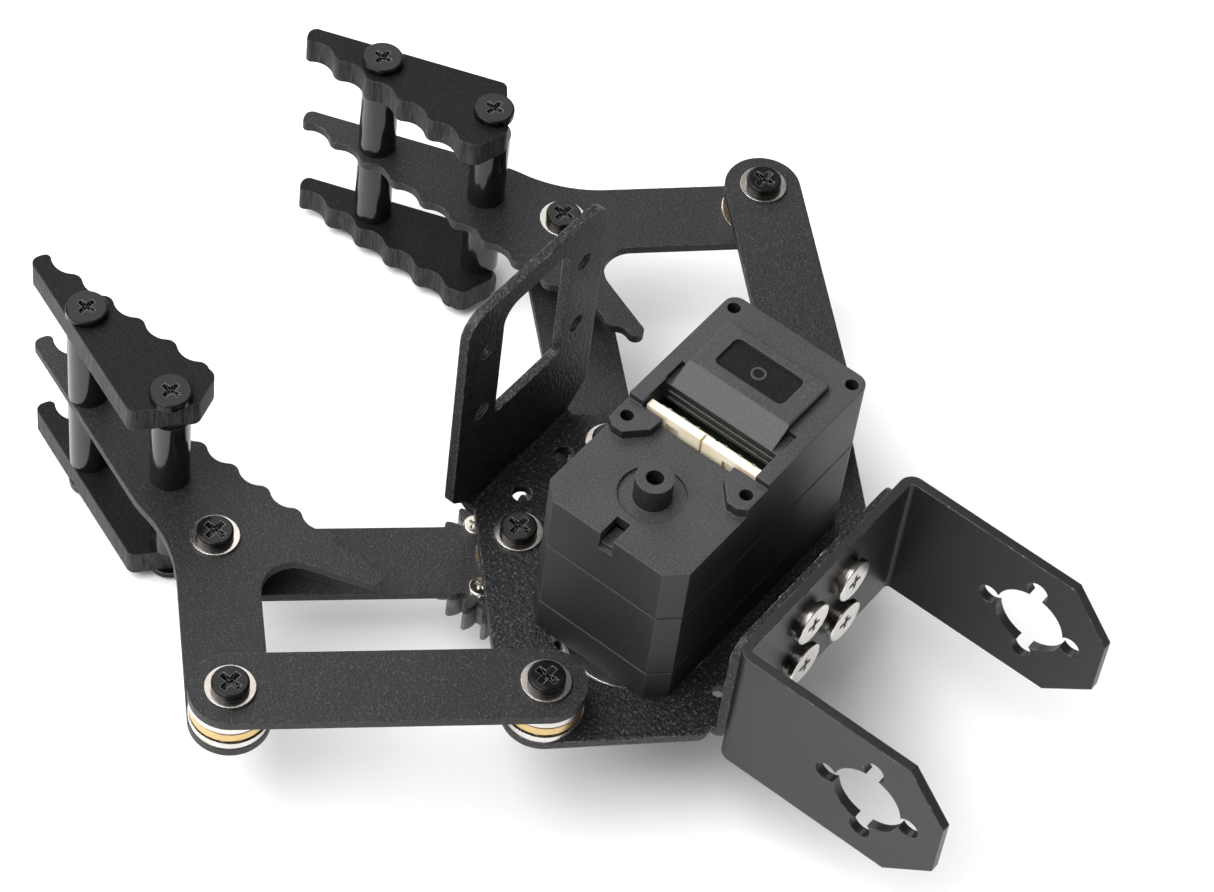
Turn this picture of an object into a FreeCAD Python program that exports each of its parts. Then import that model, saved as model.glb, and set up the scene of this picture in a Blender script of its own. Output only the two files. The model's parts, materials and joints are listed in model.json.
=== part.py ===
import FreeCAD, Part
import math
import os

os.makedirs("parts", exist_ok=True)
V = FreeCAD.Vector

# Two-finger parallel gripper driven by a bus servo through spur gears.
# Drawn with the base-plate top at z = 0 and the servo axis at y = 0; every
# piece is moved by SHIFT when written, so the origin is the wrist axis.
SHIFT = V(0, 47.0, -10.1)

# driving dimensions, mm
SHEET = 1.5
ARM_LENGTH = 44.5
REST_ANGLE = math.radians(42.7)
STRIP_R = 6.0
SERVO_X = -12.0
PIVOT_X = 11.0
PIVOT_Y = math.sqrt(22.0 ** 2 - (PIVOT_X + SERVO_X) ** 2)
LINK_OFFSET = 22.0
MODULE = 1.0
TEETH = 22
BACKLASH = 0.16
PRESSURE_ANGLE = math.radians(20)
BEARING_R = 5.9
BEARING_H = 5.0
RACE_H = 1.25
BODY_GAP = 0.05
SLEEVE_R = 2.5
SLEEVE_BORE_R = 1.55
SHANK_R = 1.45
RUN_CLEAR = 0.05
OPEN_CLEAR = 0.3
STANDOFF_L = 14.5
STANDOFF_R = 3.0
JAW_T = 4.5
CASE_X0 = -22.2
CASE_X1 = 23.0
CASE_Y = 12.36
SEAM_LOW = 6.0
SEAM_HIGH = 19.5
CASE_LOW_TOP = 30.0
CASE_TOP = 32.8
FLANGE_Y = 30.8
REAR_Y = -20.9
WEB_Y = REAR_Y - SHEET
WRIST_Y = -47.0
WRIST_Z = 10.1
EAR_OUT = 21.0

# z levels of the stack
ARM_Z = -SHEET - BEARING_H - SHEET
GEAR_Z = ARM_Z - 4.0
LINK_Z = BEARING_H

C_LEFT = V(-PIVOT_X, PIVOT_Y, 0)
ARM_DIR = V(-math.sin(REST_ANGLE), math.cos(REST_ANGLE), 0)
A_LEFT = C_LEFT + ARM_DIR * ARM_LENGTH
OFFSET = V(-LINK_OFFSET, -LINK_OFFSET, 0)
D_LEFT = C_LEFT + OFFSET
B_LEFT = A_LEFT + OFFSET
SERVO = V(SERVO_X, 0, 0)


def write(name, solids):
    """Move a piece to the part frame and write it as one STEP file."""
    shape = solids[0] if len(solids) == 1 else Part.makeCompound(solids)
    placed = shape.copy()
    placed.translate(SHIFT)
    placed.exportStep("parts/" + name + ".step")
    print(name, len(placed.Solids), placed.isValid(), round(placed.Volume, 1))


def cyl(r, z0, z1, at=V(0, 0, 0)):
    return Part.makeCylinder(r, z1 - z0, V(at.x, at.y, z0))


def tube(r_out, r_in, z0, z1, at=V(0, 0, 0)):
    return cyl(r_out, z0, z1, at).cut(cyl(r_in, z0 - 1, z1 + 1, at))


def box(x0, x1, y0, y1, z0, z1):
    return Part.makeBox(x1 - x0, y1 - y0, z1 - z0, V(x0, y0, z0))


def outline(steps):
    """Closed face from points; a pair (mid, end) makes an arc through mid."""
    edges = []
    last = steps[0]
    for step in steps[1:]:
        if isinstance(step, tuple):
            edges.append(Part.Arc(last, step[0], step[1]).toShape())
            last = step[1]
        else:
            edges.append(Part.makeLine(last, step))
            last = step
    if last.distanceToPoint(steps[0]) > 1e-6:
        edges.append(Part.makeLine(last, steps[0]))
    return Part.Face(Part.Wire(edges))


def fuse(shapes):
    return shapes[0].multiFuse(shapes[1:]).removeSplitter()


def mirrored(shape):
    """Copy across the symmetry plane x = 0."""
    return shape.mirror(V(0, 0, 0), V(1, 0, 0))


def turned_up(shape, at, axis, angle):
    out = shape.copy()
    out.rotate(at, axis, angle)
    return out


def edges_at(shape, z, r_min=0.0, r_max=1e9):
    """Circular edges lying in the plane z with a radius in range."""
    found = []
    for e in shape.Edges:
        flat = abs(e.BoundBox.ZMin - z) < 1e-4 and abs(e.BoundBox.ZMax - z) < 1e-4
        if flat and isinstance(e.Curve, Part.Circle) and r_min <= e.Curve.Radius <= r_max:
            found.append(e)
    return found


def pan_screw(head_r, head_h, shank_r, length, slot_l, slot_w):
    """Cross-recess screw on z: head from 0 up to head_h, shank down to -length."""
    head = cyl(head_r, 0, head_h)
    head = head.makeFillet(0.25 * head_h, edges_at(head, head_h))
    body = head.fuse(cyl(shank_r, -length, 0)).removeSplitter()
    body = body.makeChamfer(0.3 * shank_r, edges_at(body, -length))
    floor = 0.3 * head_h
    wing = outline([
        V(-slot_l / 2, -slot_w / 2, head_h + 0.5),
        V(-slot_l / 2, -slot_w / 2, head_h),
        V(-slot_l / 4, -slot_w / 2, floor),
        V(slot_l / 4, -slot_w / 2, floor),
        V(slot_l / 2, -slot_w / 2, head_h),
        V(slot_l / 2, -slot_w / 2, head_h + 0.5),
    ]).extrude(V(0, slot_w, 0))
    cross = wing.fuse(turned_up(wing, V(0, 0, 0), V(0, 0, 1), 90))
    centre = Part.makeCone(0.8 * slot_w, 0.1, head_h - floor + 0.2, V(0, 0, head_h), V(0, 0, -1))
    return body.cut(cross).cut(centre)


def hex_nut(flats, hole_r, height):
    """Hexagonal nut from z = 0 up, both faces with turned corners."""
    r = flats / math.sqrt(3)
    turns = [math.radians(60 * i) for i in range(7)]
    ring = [V(r * math.cos(a), r * math.sin(a), 0) for a in turns]
    prism = Part.Face(Part.makePolygon(ring)).extrude(V(0, 0, height))
    low = Part.makeCone(flats / 2, flats / 2 + 1.5 * height, height * 0.9)
    high = Part.makeCone(flats / 2 + 1.5 * height, flats / 2, height * 0.9, V(0, 0, 0.1 * height))
    prism = prism.common(low.fuse(cyl(flats, height * 0.5, height)))
    prism = prism.common(high.fuse(cyl(flats, 0, height * 0.5)))
    return prism.cut(cyl(hole_r, -1, height + 1))


def placed(shape, x, y, z):
    out = shape.copy()
    out.translate(V(x, y, z))
    return out


def involute(base_r, r, start):
    """Point of the involute that leaves the base circle at angle start."""
    roll = math.sqrt(max((r / base_r) ** 2 - 1, 0))
    a = start + roll - math.atan(roll)
    return V(r * math.cos(a), r * math.sin(a), 0)


def gear_face(tooth_angle):
    """Spur gear profile about the origin, one tooth centred on tooth_angle."""
    pitch_r = MODULE * TEETH / 2
    base_r = pitch_r * math.cos(PRESSURE_ANGLE)
    tip_r = pitch_r + MODULE
    root_r = pitch_r - 1.25 * MODULE
    thick = (math.pi * MODULE - BACKLASH * 2) / 2
    inv = math.tan(PRESSURE_ANGLE) - PRESSURE_ANGLE
    half_base = thick / (2 * pitch_r) + inv
    pitch_angle = 2 * math.pi / TEETH
    edges = []
    for i in range(TEETH):
        mid = tooth_angle + i * pitch_angle
        rise = [involute(base_r, r, -half_base) for r in (base_r, pitch_r, tip_r)]
        fall = [V(p.x, -p.y, 0) for p in reversed(rise)]
        foot = V(root_r * math.cos(half_base), -root_r * math.sin(half_base), 0)
        end = V(foot.x, -foot.y, 0)
        half_gap = pitch_angle / 2
        gap = V(root_r * math.cos(half_gap), root_r * math.sin(half_gap), 0)
        ahead = pitch_angle - half_base
        nxt = V(root_r * math.cos(ahead), root_r * math.sin(ahead), 0)
        tooth = [
            Part.makeLine(foot, rise[0]),
            Part.Arc(rise[0], rise[1], rise[2]).toShape(),
            Part.Arc(rise[2], V(tip_r, 0, 0), fall[0]).toShape(),
            Part.Arc(fall[0], fall[1], fall[2]).toShape(),
            Part.makeLine(fall[2], end),
            Part.Arc(end, gap, nxt).toShape(),
        ]
        for e in tooth:
            e.rotate(V(0, 0, 0), V(0, 0, 1), math.degrees(mid))
            edges.append(e)
    return Part.Face(Part.Wire(Part.__sortEdges__(edges)))


def gear_solid(at, z0, z1, tooth_angle):
    solid = gear_face(tooth_angle).extrude(V(0, 0, z1 - z0))
    solid.translate(V(at.x, at.y, z0))
    return solid


def strip(p, q, z0, z1):
    """Flat bar with round ends between two pivots."""
    d = (q - p).normalize()
    n = V(-d.y, d.x, 0)
    low = V(0, 0, z0)
    face = outline([
        p + n * STRIP_R + low,
        (p - d * STRIP_R + low, p - n * STRIP_R + low),
        q - n * STRIP_R + low,
        (q + d * STRIP_R + low, q + n * STRIP_R + low),
    ])
    return face.extrude(V(0, 0, z1 - z0))


# ---------------------------------------------------------------- base plate
EDGE = abs(D_LEFT.x) + STRIP_R * math.sqrt(2)
FRONT_HALF = 12.0
lobe = STRIP_R / math.sqrt(2)
DX = abs(D_LEFT.x)
PLATE_REAR = -20.1
REAR_HALF = EDGE + PLATE_REAR

flat = outline([
    V(-FRONT_HALF, FLANGE_Y - 2, -SHEET),
    V(-FRONT_HALF, EDGE - FRONT_HALF, -SHEET),
    V(-DX - lobe, lobe, -SHEET),
    (V(-DX - STRIP_R, 0, -SHEET), V(-DX - lobe, -lobe, -SHEET)),
    V(-REAR_HALF - 0.44, PLATE_REAR + 0.44, -SHEET),
    (V(-REAR_HALF + 0.05, PLATE_REAR + 0.11, -SHEET), V(-REAR_HALF + 0.62, PLATE_REAR, -SHEET)),
    V(REAR_HALF - 0.62, PLATE_REAR, -SHEET),
    (V(REAR_HALF - 0.05, PLATE_REAR + 0.11, -SHEET), V(REAR_HALF + 0.44, PLATE_REAR + 0.44, -SHEET)),
    V(DX + lobe, -lobe, -SHEET),
    (V(DX + STRIP_R, 0, -SHEET), V(DX + lobe, lobe, -SHEET)),
    V(FRONT_HALF, EDGE - FRONT_HALF, -SHEET),
    V(FRONT_HALF, FLANGE_Y - 2, -SHEET),
]).extrude(V(0, 0, SHEET))


def bend(y_in, side, half):
    """Formed corner from the plate up into a flange whose inner face is y_in."""
    r_in = 0.5
    r_out = r_in + SHEET
    yc = y_in - side * r_in
    k = math.sqrt(0.5)
    x = V(-half, 0, 0)
    face = outline([
        V(0, yc - side * 3, -SHEET) + x,
        V(0, yc, -SHEET) + x,
        (V(0, yc + side * r_out * k, r_in - r_out * k) + x, V(0, yc + side * r_out, r_in) + x),
        V(0, yc + side * r_out, 4) + x,
        V(0, yc + side * r_in, 4) + x,
        V(0, yc + side * r_in, r_in) + x,
        (V(0, yc + side * r_in * k, r_in - r_in * k) + x, V(0, yc, 0) + x),
        V(0, yc - side * 3, 0) + x,
    ])
    return face.extrude(V(2 * half, 0, 0))


FLANGE_HALF = 16.0
FLANGE_TOP = 45.0
WINDOW_HALF = 7.6
fr = 4.0
fk = fr * (1 - math.sqrt(0.5))
front = outline([
    V(-FRONT_HALF, FLANGE_Y, 0.6),
    V(-FLANGE_HALF + 1.0, FLANGE_Y, 3.3),
    (V(-FLANGE_HALF + 0.3, FLANGE_Y, 4.0), V(-FLANGE_HALF, FLANGE_Y, 5.0)),
    V(-FLANGE_HALF, FLANGE_Y, FLANGE_TOP - fr),
    (V(-FLANGE_HALF + fk, FLANGE_Y, FLANGE_TOP - fk), V(-FLANGE_HALF + fr, FLANGE_Y, FLANGE_TOP)),
    V(FLANGE_HALF - fr, FLANGE_Y, FLANGE_TOP),
    (V(FLANGE_HALF - fk, FLANGE_Y, FLANGE_TOP - fk), V(FLANGE_HALF, FLANGE_Y, FLANGE_TOP - fr)),
    V(FLANGE_HALF, FLANGE_Y, 5.0),
    (V(FLANGE_HALF - 0.3, FLANGE_Y, 4.0), V(FLANGE_HALF - 1.0, FLANGE_Y, 3.3)),
    V(FRONT_HALF, FLANGE_Y, 0.6),
]).extrude(V(0, SHEET, 0))
WINDOW_LOW = 17.6
WINDOW_HIGH = 41.0
wr = 1.5
wk = wr * (1 - math.sqrt(0.5))
ws = 3.2
wm = ws * (1 - math.sqrt(0.5))
window = outline([
    V(-WINDOW_HALF, FLANGE_Y - 1, WINDOW_LOW + wr),
    V(-WINDOW_HALF, FLANGE_Y - 1, WINDOW_HIGH - ws),
    (V(-WINDOW_HALF + wm, FLANGE_Y - 1, WINDOW_HIGH - wm), V(-WINDOW_HALF + ws, FLANGE_Y - 1, WINDOW_HIGH)),
    V(WINDOW_HALF - ws, FLANGE_Y - 1, WINDOW_HIGH),
    (V(WINDOW_HALF - wm, FLANGE_Y - 1, WINDOW_HIGH - wm), V(WINDOW_HALF, FLANGE_Y - 1, WINDOW_HIGH - ws)),
    V(WINDOW_HALF, FLANGE_Y - 1, WINDOW_LOW + wr),
    (V(WINDOW_HALF - wk, FLANGE_Y - 1, WINDOW_LOW + wk), V(WINDOW_HALF - wr, FLANGE_Y - 1, WINDOW_LOW)),
    V(-WINDOW_HALF + wr, FLANGE_Y - 1, WINDOW_LOW),
    (V(-WINDOW_HALF + wk, FLANGE_Y - 1, WINDOW_LOW + wk), V(-WINDOW_HALF, FLANGE_Y - 1, WINDOW_LOW + wr)),
]).extrude(V(0, SHEET + 2, 0))

RF_HALF = 19.4
RF_TOP = 20.8
rr = 3.0
rk = rr * (1 - math.sqrt(0.5))
rear = outline([
    V(-RF_HALF, REAR_Y, 0.6),
    V(-RF_HALF, REAR_Y, RF_TOP - rr),
    (V(-RF_HALF + rk, REAR_Y, RF_TOP - rk), V(-RF_HALF + rr, REAR_Y, RF_TOP)),
    V(RF_HALF - rr, REAR_Y, RF_TOP),
    (V(RF_HALF - rk, REAR_Y, RF_TOP - rk), V(RF_HALF, REAR_Y, RF_TOP - rr)),
    V(RF_HALF, REAR_Y, 0.6),
]).extrude(V(0, -SHEET, 0))

plate = fuse([flat, bend(FLANGE_Y, 1, FRONT_HALF), front, bend(REAR_Y, -1, RF_HALF), rear])
plate = plate.cut(window)
SERVO_HOLE_R = 12.45
plate = plate.cut(cyl(SERVO_HOLE_R, -3, 3, SERVO))
FLANGE_HOLES = [(x, z) for x in (-11.0, 11.0) for z in (21.5, 35.5)]
for hx, hz in FLANGE_HOLES:
    plate = plate.cut(Part.makeCylinder(1.5, 8, V(hx, FLANGE_Y - 3, hz), V(0, 1, 0)))
WEB_SCREWS = [(x, WRIST_Z + dz) for x in (-5.0, 5.0) for dz in (-5.0, 5.0)]
for hx, hz in WEB_SCREWS:
    plate = plate.cut(Part.makeCylinder(2.0, 6, V(hx, REAR_Y + 2, hz), V(0, -1, 0)))
MOUNT_SCREWS = [(x, y) for x in (2.8, 20.8) for y in (-10.2, 10.2)]
for hx, hy in MOUNT_SCREWS:
    plate = plate.cut(cyl(1.3, -3, 1, V(hx, hy, 0)))
for hx, hy, hr in ((-5, 26, 1.5), (5, 26, 1.5), (-13.9, -17.3, 1.0), (13.9, -17.3, 1.0)):
    plate = plate.cut(cyl(hr, -3, 1, V(hx, hy, 0)))
for side in (-1, 1):
    for p in (C_LEFT, D_LEFT):
        plate = plate.cut(cyl(1.55, -3, 1, V(-side * p.x, p.y, 0)))
write("base_plate", [plate])

# ------------------------------------------------------------- wrist bracket
BR_TOP = 22.6
BR_LOW = -2.4
EAR_END = -59.2
ro = 2.2
ri = ro - SHEET
ko = ro * (1 - math.sqrt(0.5))
ki = ri * (1 - math.sqrt(0.5))
EAR_IN = EAR_OUT - SHEET
WEB_BACK = WEB_Y - SHEET
u_shape = outline([
    V(-EAR_OUT, EAR_END, BR_LOW),
    V(-EAR_OUT, WEB_Y - ro, BR_LOW),
    (V(-EAR_OUT + ko, WEB_Y - ko, BR_LOW), V(-EAR_OUT + ro, WEB_Y, BR_LOW)),
    V(EAR_OUT - ro, WEB_Y, BR_LOW),
    (V(EAR_OUT - ko, WEB_Y - ko, BR_LOW), V(EAR_OUT, WEB_Y - ro, BR_LOW)),
    V(EAR_OUT, EAR_END, BR_LOW),
    V(EAR_IN, EAR_END, BR_LOW),
    V(EAR_IN, WEB_BACK - ri, BR_LOW),
    (V(EAR_IN - ki, WEB_BACK - ki, BR_LOW), V(EAR_IN - ri, WEB_BACK, BR_LOW)),
    V(-EAR_IN + ri, WEB_BACK, BR_LOW),
    (V(-EAR_IN + ki, WEB_BACK - ki, BR_LOW), V(-EAR_IN, WEB_BACK - ri, BR_LOW)),
    V(-EAR_IN, EAR_END, BR_LOW),
]).extrude(V(0, 0, BR_TOP - BR_LOW))
profile = outline([
    V(-30, -52.4, BR_TOP),
    V(-30, EAR_END, WRIST_Z + 4.6),
    V(-30, EAR_END, WRIST_Z - 5.7),
    V(-30, -51.9, BR_LOW),
    V(-30, 0, BR_LOW),
    V(-30, 0, BR_TOP),
]).extrude(V(60, 0, 0))
bracket = u_shape.common(profile)
AXIS_R = 5.7
NOTCH_PCD = 14.0
NOTCH_R = 1.75
NECK = 2.1
cross = Part.makeCylinder(AXIS_R, 60, V(-30, WRIST_Y, WRIST_Z), V(1, 0, 0))
holes = [cross]
for i in range(4):
    a = math.radians(90 * i)
    cy = WRIST_Y + NOTCH_PCD / 2 * math.cos(a)
    cz = WRIST_Z + NOTCH_PCD / 2 * math.sin(a)
    holes.append(Part.makeCylinder(NOTCH_R, 60, V(-30, cy, cz), V(1, 0, 0)))
for half_y, half_z in ((NOTCH_PCD / 2, NECK / 2), (NECK / 2, NOTCH_PCD / 2)):
    slot = box(-30, 30, WRIST_Y - half_y, WRIST_Y + half_y, WRIST_Z - half_z, WRIST_Z + half_z)
    holes.append(slot)
bracket = bracket.cut(fuse(holes))
for hx, hz in WEB_SCREWS:
    bracket = bracket.cut(Part.makeCylinder(2.15, 6, V(hx, WEB_Y + 2, hz), V(0, -1, 0)))
write("wrist_bracket", [bracket])

WEB_SPRING_T = 0.8
screw = pan_screw(3.5, 0.9, 1.9, SHEET * 2 + WEB_SPRING_T + 1.9, 3.0, 0.8)
screw.rotate(V(0, 0, 0), V(1, 0, 0), 90)
head_y = WEB_BACK - WEB_SPRING_T
write("bracket_screws", [placed(screw, x, head_y, z) for x, z in WEB_SCREWS])
spring = tube(2.9, 2.05, 0, WEB_SPRING_T)
spring = spring.cut(turned_up(box(0, 5, -0.25, 0.25, -1, 3), V(0, 0, 0), V(1, 0, 0), 20))
spring.rotate(V(0, 0, 0), V(1, 0, 0), 90)
web_washers = [placed(spring, x, WEB_BACK, z) for x, z in WEB_SCREWS]
write("bracket_washers", web_washers)

# --------------------------------------------------------------------- servo
END_CUT = 2.7
R_END = 2.0


def case_block(z0, z1, inset=0.0):
    """Servo case outline: cut corners at -x, round ones at +x."""
    c = END_CUT - 0.4 * inset
    x0 = CASE_X0 + inset
    x1 = CASE_X1 - inset
    y = CASE_Y - inset
    r = R_END - inset
    k = r * (1 - math.sqrt(0.5))
    return outline([
        V(x0, -y + c, z0),
        V(x0, y - c, z0),
        V(x0 + c, y, z0),
        V(x1 - r, y, z0),
        (V(x1 - k, y - k, z0), V(x1, y - r, z0)),
        V(x1, -y + r, z0),
        (V(x1 - k, -y + k, z0), V(x1 - r, -y, z0)),
        V(x0 + c, -y, z0),
    ]).extrude(V(0, 0, z1 - z0))


def seam_groove(z):
    """Shadow line 0.3 deep and 0.3 high running round the case above z."""
    return case_block(z - 0.1, z + 0.3, -1.0).cut(case_block(z - 1, z + 1, 0.3))


WALL = 1.6
CASE_SCREWS = [(x, y) for x in (-4.4, 20.8) for y in (-10.55, 10.55)]
SHAFT_R = 3.0
BUSH_R = 4.5

bottom = case_block(0, SEAM_LOW).cut(case_block(WALL, SEAM_LOW + 1, WALL))
posts = [cyl(2.0, WALL - 0.5, SEAM_LOW, V(x, y, 0)) for x, y in CASE_SCREWS]
bosses = [cyl(2.2, WALL - 0.5, SEAM_LOW, V(x, y, 0)) for x, y in MOUNT_SCREWS if x < 10]
collar = cyl(6.2, 0, WALL + 2.4, SERVO)
bottom = fuse([bottom, collar] + posts + bosses).common(case_block(0, SEAM_LOW))
bottom = bottom.cut(cyl(BUSH_R, -1, SEAM_LOW, SERVO))
for hx, hy in MOUNT_SCREWS:
    bottom = bottom.cut(cyl(1.0, -1, 5.0, V(hx, hy, 0)))
write("servo_bottom_cover", [bottom])
write("servo_shaft_bush", [tube(BUSH_R, SHAFT_R + RUN_CLEAR, 0, WALL + 2.4, SERVO)])

middle = case_block(SEAM_LOW, SEAM_HIGH).cut(case_block(SEAM_LOW + WALL, SEAM_HIGH + 1, WALL))
posts = [cyl(2.0, SEAM_LOW + WALL - 0.5, SEAM_HIGH, V(x, y, 0)) for x, y in CASE_SCREWS]
shelf = cyl(5.5, SEAM_LOW, SEAM_LOW + WALL + 1.5, SERVO)
middle = fuse([middle, shelf] + posts).common(case_block(SEAM_LOW, SEAM_HIGH))
middle = middle.cut(cyl(SHAFT_R + RUN_CLEAR, SEAM_LOW - 1, SEAM_LOW + 4, SERVO))
MOTOR_X = 10.5
MOTOR_R = 8.0
middle = middle.cut(cyl(1.2, SEAM_LOW - 1, SEAM_LOW + 3, V(MOTOR_X, 0, 0)))
for hx, hy in CASE_SCREWS:
    middle = middle.cut(cyl(0.85, SEAM_LOW + 3, SEAM_HIGH + 1, V(hx, hy, 0)))
middle = middle.cut(seam_groove(SEAM_LOW))
write("servo_middle_case", [middle])

motor = cyl(MOTOR_R, SEAM_LOW + WALL, SEAM_LOW + WALL + 15.5, V(MOTOR_X, 0, 0))
motor = motor.makeChamfer(0.6, edges_at(motor, SEAM_LOW + WALL + 15.5))
motor = motor.fuse(cyl(2.0, 22, 24.2, V(MOTOR_X, 0, 0))).removeSplitter()
for side in (-1, 1):
    flank = box(MOTOR_X - 9, MOTOR_X + 9, -1.4, 1.4, 0, 30)
    motor = motor.cut(placed(flank, 0, side * 7.6, 0))
write("servo_motor", [motor])

board = box(-20.0, 21.0, -8.2, 8.2, 24.8, 26.0)
board = board.cut(cyl(2.0, 24, 27, SERVO))
write("servo_circuit_board", [board])

# back cover: low deck, raised tabs, connector bay, ramp and raised block
TAB_TOP = 31.7
solid_top = case_block(SEAM_HIGH, CASE_TOP)
low_deck = box(CASE_X0 - 1, -1.6, -20, 20, CASE_LOW_TOP, CASE_TOP + 1)
cover = solid_top.cut(low_deck)
for side in (-1, 1):
    ring = [(-1.5, 12.36), (-6.3, 12.36), (-7.2, 11.1), (-7.2, 9.3), (-4.2, 6.5), (-1.5, 6.3)]
    pts = [V(x, side * y, SEAM_HIGH + 1) for x, y in ring]
    tab = Part.Face(Part.makePolygon(pts + [pts[0]])).extrude(V(0, 0, TAB_TOP - SEAM_HIGH - 1))
    cover = cover.fuse(tab)
BOSS_R = 2.8
BOSS_TOP = 33.9
cover = cover.fuse(cyl(BOSS_R, CASE_LOW_TOP - 1, BOSS_TOP, SERVO)).removeSplitter()
cover = cover.cut(tube(5.0, BOSS_R, CASE_LOW_TOP - 0.5, CASE_LOW_TOP + 0.5, SERVO))
roof = CASE_LOW_TOP - 1.8
BAY_X1 = 4.1
BAY_Y = 10.0
LIP_TOP = 31.7
BLOCK_TOP = 34.0
BLOCK_Y0 = -8.7
BLOCK_Y1 = 9.2
ramp_block = outline([
    V(BAY_X1, BLOCK_Y0, CASE_TOP - 3), V(BAY_X1, BLOCK_Y0, LIP_TOP), V(8.0, BLOCK_Y0, BLOCK_TOP),
    V(17.8, BLOCK_Y0, BLOCK_TOP), V(17.8, BLOCK_Y0, CASE_TOP - 3),
]).extrude(V(0, BLOCK_Y1 - BLOCK_Y0, 0))
tall = [e for e in ramp_block.Edges if e.BoundBox.ZLength > 1 and e.BoundBox.XMin > 17]
top_rim = [e for e in ramp_block.Edges if e.BoundBox.ZMin > BLOCK_TOP - 0.1 and e.BoundBox.XMax > 17]
ramp_block = ramp_block.makeFillet(0.35, tall + top_rim)
cover = cover.cut(case_block(SEAM_HIGH - 1, roof, WALL))
cover = fuse([cover] + [cyl(2.0, SEAM_HIGH, roof + 1, V(x, y, 0)) for x, y in CASE_SCREWS])
cover = cover.common(case_block(SEAM_HIGH, 40))
cover = cover.cut(cyl(1.3, 27, 40, SERVO))
cover = cover.cut(box(-1.6, BAY_X1, -BAY_Y, BAY_Y, roof - 1, CASE_TOP + 1))
cover = cover.cut(box(BAY_X1 - 0.1, 8.0, -10.2, 10.2, LIP_TOP, CASE_TOP + 1))
cover = fuse([cover, ramp_block])
pocket = box(10.0, 16.0, -5.7, 6.4, BLOCK_TOP - 0.5, BLOCK_TOP + 1)
corners = [e for e in pocket.Edges if e.BoundBox.ZLength > 1]
cover = cover.cut(pocket.makeFillet(1.0, corners))
cover = cover.fuse(tube(1.2, 0.8, BLOCK_TOP - 0.6, BLOCK_TOP - 0.3, V(12.8, 0.3, 0)))
for rib_z in (28.8, 30.2):
    cover = cover.fuse(box(BAY_X1 - 0.18, BAY_X1 + 0.1, -BAY_Y + 0.6, BAY_Y - 0.6, rib_z, rib_z + 0.3))
for hx, hy in CASE_SCREWS:
    cover = cover.cut(cyl(1.0, 26.5, 40, V(hx, hy, 0)))
    cover = cover.cut(cyl(0.9, SEAM_HIGH - 1, 30, V(hx, hy, 0)))
cover = cover.cut(box(CASE_X0 - 1, -18.2, -1.0, 1.3, 26.8, CASE_TOP))
cover = cover.fuse(box(-21.6, -18.2, -1.0, 1.3, 26.6, 27.6))
cover = cover.cut(seam_groove(SEAM_HIGH)).removeSplitter()
write("servo_back_cover", [cover])

CONN_L = 9.5
shells = []
pins = []
for side in (-1, 1):
    y0 = 0.2 if side > 0 else -0.2 - CONN_L
    shell = box(-0.85, 3.6, y0, y0 + CONN_L, 26.05, 31.6)
    shell = shell.cut(box(0.45, 4.0, y0 - 1, y0 + CONN_L + 1, 27.3, 32.0))
    key = box(-1.0, -0.45, y0 + CONN_L / 2 - 1.1, y0 + CONN_L / 2 + 1.1, 25.0, 30.2)
    shell = shell.cut(key)
    for i in (-1, 0, 1):
        yc = y0 + CONN_L / 2 + 2.5 * i
        shell = shell.cut(box(1.6, 2.2, yc - 0.3, yc + 0.3, 26.0, 28.0))
        pins.append(box(1.63, 2.17, yc - 0.27, yc + 0.27, 26.05, 29.6))
    shells.append(shell)
write("servo_connectors", shells)
write("connector_pins", pins)

case_screw = cyl(0.96, 26.5, 27.8).fuse(cyl(0.8, 11.0, 26.5)).removeSplitter()
case_screw = case_screw.cut(cyl(0.5, 27.1, 28.0))
write("servo_case_screws", [placed(case_screw, x, y, 0) for x, y in CASE_SCREWS])

mount_screw = pan_screw(2.0, 1.2, 0.95, SHEET + 4.5, 2.0, 0.5)
mount_screw.rotate(V(0, 0, 0), V(1, 0, 0), 180)
write("servo_mount_screws", [placed(mount_screw, x, y, -SHEET) for x, y in MOUNT_SCREWS])

# ---------------------------------------------------------- drive at the servo
HORN_TOP = -4.0
HUB_TOP = -0.4
PINION_LOW = -12.0
HORN_LOW = -6.5
HORN_PCD = 14.0
line = math.atan2(C_LEFT.y - SERVO.y, C_LEFT.x - SERVO.x)
pitch_a = 2 * math.pi / TEETH
near = math.pi + round(line / pitch_a) * pitch_a
drive_gap = line - (near - (line + math.pi))
drive_tooth = drive_gap + pitch_a / 2

shaft = cyl(SHAFT_R, HORN_TOP, 12.0, SERVO)
shaft = shaft.makeChamfer(0.4, edges_at(shaft, 12.0))
shaft = shaft.cut(cyl(1.25, HORN_TOP - 1, 5, SERVO))
write("output_shaft", [shaft])

horn = fuse([cyl(10.0, HORN_LOW, HORN_TOP, SERVO), cyl(6.0, HORN_TOP, HUB_TOP, SERVO)])
horn = horn.makeChamfer(0.4, edges_at(horn, HORN_TOP, 9.9) + edges_at(horn, HUB_TOP, 5.9))
horn = horn.cut(cyl(SHAFT_R, HORN_TOP, 3, SERVO)).cut(cyl(1.6, HORN_LOW - 1, 3, SERVO))
HORN_SCREWS = []
for i in range(4):
    a = math.radians(45 + 90 * i)
    p = SERVO + V(HORN_PCD / 2 * math.cos(a), HORN_PCD / 2 * math.sin(a), 0)
    HORN_SCREWS.append(p)
    horn = horn.cut(cyl(1.0, HORN_LOW - 1, 1, p))
write("servo_horn", [horn])

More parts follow.
